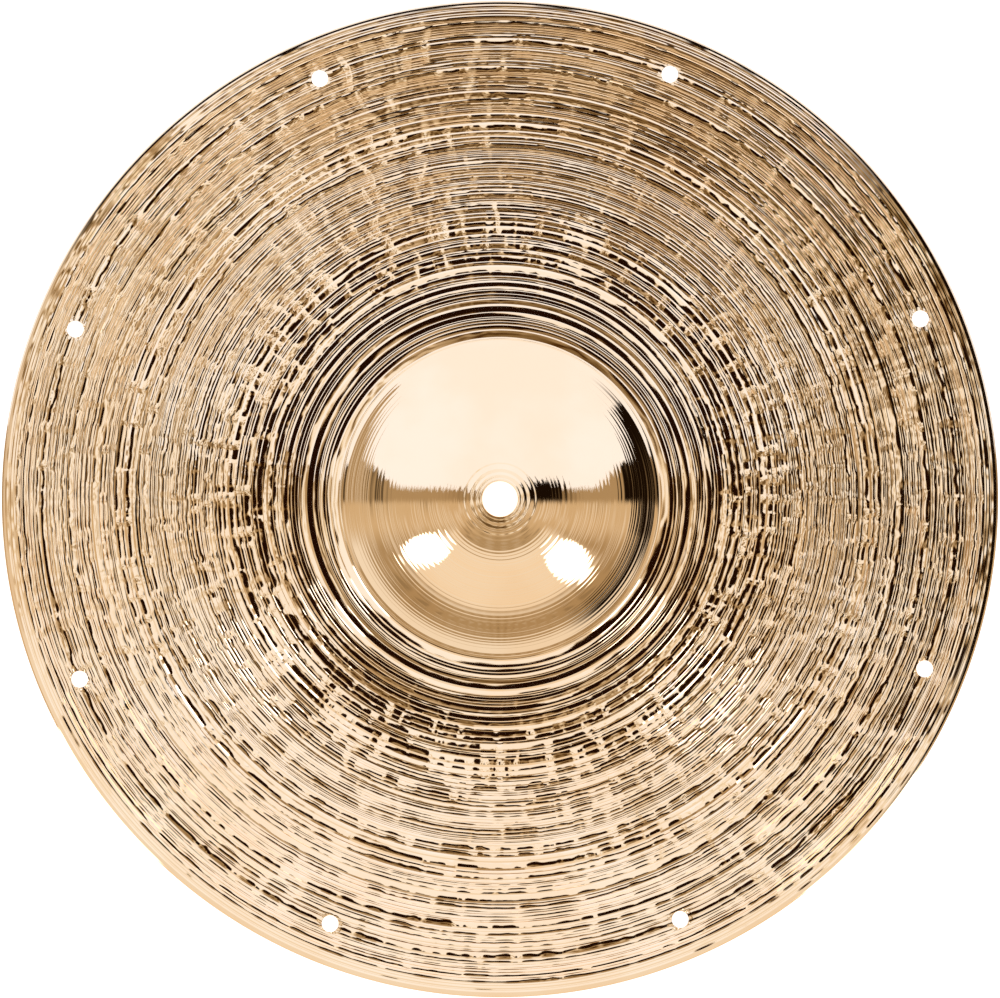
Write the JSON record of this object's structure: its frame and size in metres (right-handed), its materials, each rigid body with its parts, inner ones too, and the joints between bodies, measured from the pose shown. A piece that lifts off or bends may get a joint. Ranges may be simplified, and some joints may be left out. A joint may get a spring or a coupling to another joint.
{
  "type": "cymbal",
  "caption": "Round bronze cymbal with a domed bell, a lathed and hammered bow, a central mounting hole and a ring of small vent holes near the rim.",
  "frame": {"origin": "on the cymbal's axis, level with the lowest point of the rim", "axes": "+Z along the axis, up through the bell; the first vent hole is 23.2 degrees counter-clockwise from +X, seen from above"},
  "size_m": [0.3556, 0.3556, 0.0358],
  "materials": {
    "bronze": "cast bronze, hammered, lathed and polished bright"
  },
  "bodies": {
    "root": {"cymbal": "bronze"}
  },
  "joints": []
}
